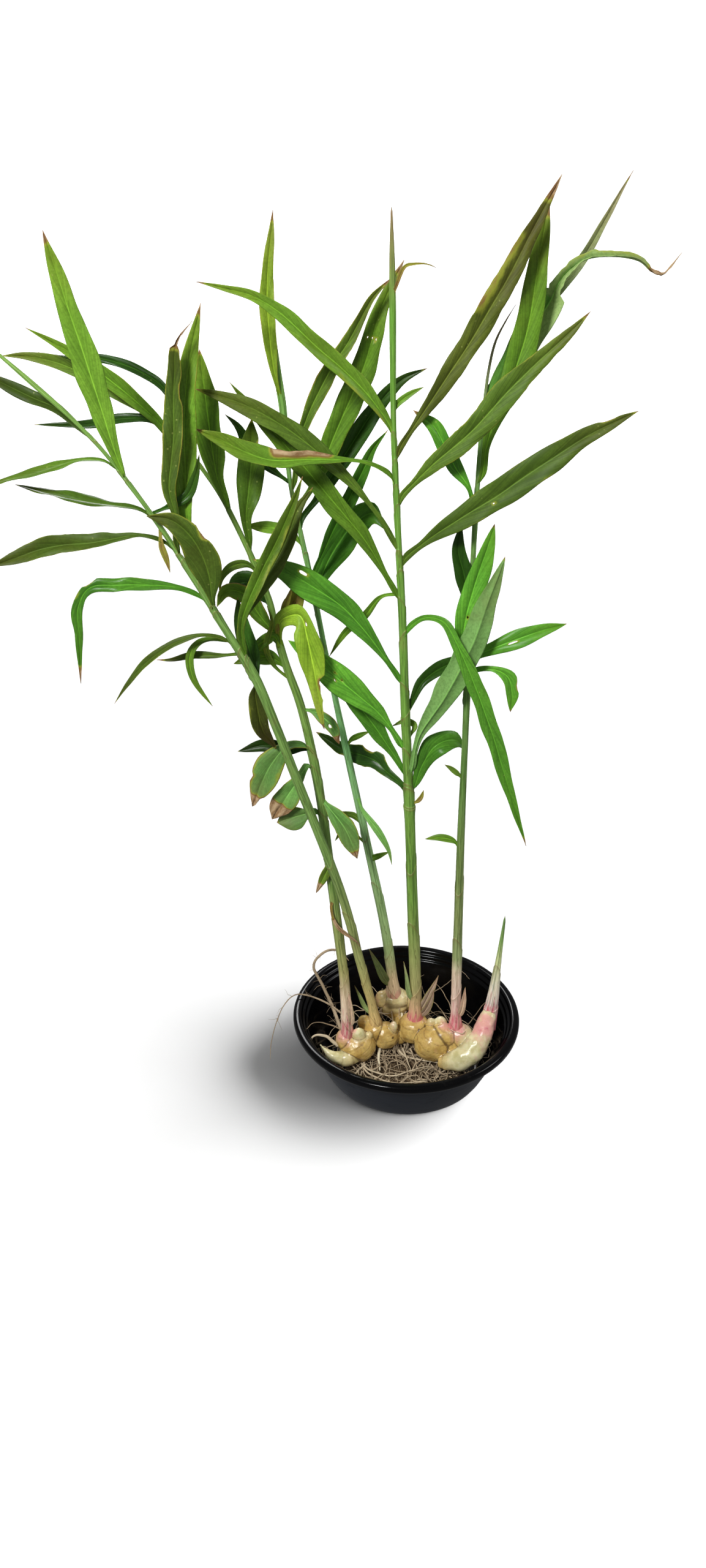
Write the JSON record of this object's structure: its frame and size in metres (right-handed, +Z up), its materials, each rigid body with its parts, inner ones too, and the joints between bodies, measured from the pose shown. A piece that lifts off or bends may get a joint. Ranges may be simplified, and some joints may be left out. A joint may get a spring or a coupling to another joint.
{
  "type": "ginger plant with root in a bowl",
  "caption": "Lifted ginger plant: a knobbly ginger root with its fibrous roots and leafy shoots, standing in a round black plastic bowl.",
  "frame": {"origin": "centre of the bowl's flat underside", "axes": "+Z up along the shoots, +X to the right and -Y towards the viewer who faces the plant's broad side"},
  "size_m": [0.52, 0.228, 0.815],
  "materials": {
    "bowl_plastic": "moulded black plastic, glossy inside and on the lip, satin outside",
    "rhizome_skin": "thin tan ginger skin with darker ring scars, moist and slightly translucent",
    "root_fibre": "matt beige root fibres",
    "stem_green": "satin green leaf-sheath stem, pink and cream at the foot",
    "leaf_green": "satin green blade with fine parallel veins",
    "leaf_dark": "satin dark green blade with fine parallel veins",
    "leaf_olive": "satin olive-brown blade with dry margins",
    "leaf_yellow": "satin yellow-green blade, torn and drying",
    "leaf_grey": "matt grey-green underside of a blade"
  },
  "bodies": {
    "root": {"bowl": "bowl_plastic", "stem_pink": "stem_green", "leaf_pink_1": "leaf_green", "leaf_pink_2": "leaf_green", "leaf_pink_3": "leaf_green", "leaf_pink_4": "leaf_dark", "leaf_pink_5": "leaf_yellow", "leaf_pink_6": "leaf_olive", "leaf_pink_7": "leaf_green", "leaf_pink_8": "leaf_green", "stem_leaning": "stem_green", "leaf_leaning_1": "leaf_green", "leaf_leaning_2": "leaf_green", "leaf_leaning_3": "leaf_green", "leaf_leaning_4": "leaf_green", "leaf_leaning_5": "leaf_olive", "leaf_leaning_6": "leaf_green", "leaf_leaning_7": "leaf_olive", "leaf_leaning_8": "leaf_olive", "leaf_leaning_9": "leaf_olive", "leaf_leaning_10": "leaf_olive", "leaf_leaning_11": "leaf_green", "leaf_leaning_12": "leaf_green", "stem_slim": "stem_green", "leaf_slim_1": "leaf_dark", "leaf_slim_2": "leaf_green", "leaf_slim_3": "leaf_dark", "leaf_slim_4": "leaf_green", "leaf_slim_5": "leaf_dark", "leaf_slim_6": "leaf_dark", "stem_tall": "stem_green", "leaf_tall_left_1": "leaf_green", "leaf_tall_left_2": "leaf_green", "leaf_tall_left_3": "leaf_green", "leaf_tall_left_4": "leaf_green", "leaf_tall_left_5": "leaf_green", "leaf_tall_left_6": "leaf_green", "leaf_tall_left_7": "leaf_dark", "leaf_tall_left_8": "leaf_dark", "leaf_tall_right_1": "leaf_olive", "leaf_tall_right_2": "leaf_olive", "leaf_tall_right_3": "leaf_green", "leaf_tall_right_4": "leaf_green", "leaf_tall_right_5": "leaf_dark", "leaf_tall_right_6": "leaf_grey", "leaf_tall_right_7": "leaf_green", "stem_right": "stem_green", "leaf_right_1": "leaf_green", "leaf_right_2": "leaf_green", "leaf_right_3": "leaf_olive", "leaf_right_4": "leaf_green", "leaf_right_5": "leaf_green", "leaf_right_6": "leaf_green", "leaf_right_7": "leaf_green", "leaf_right_8": "leaf_dark", "stem_spear": "stem_green", "rhizome": "rhizome_skin", "root_mat": "root_fibre", "root_loop": "root_fibre", "root_long": "root_fibre"}
  },
  "joints": []
}
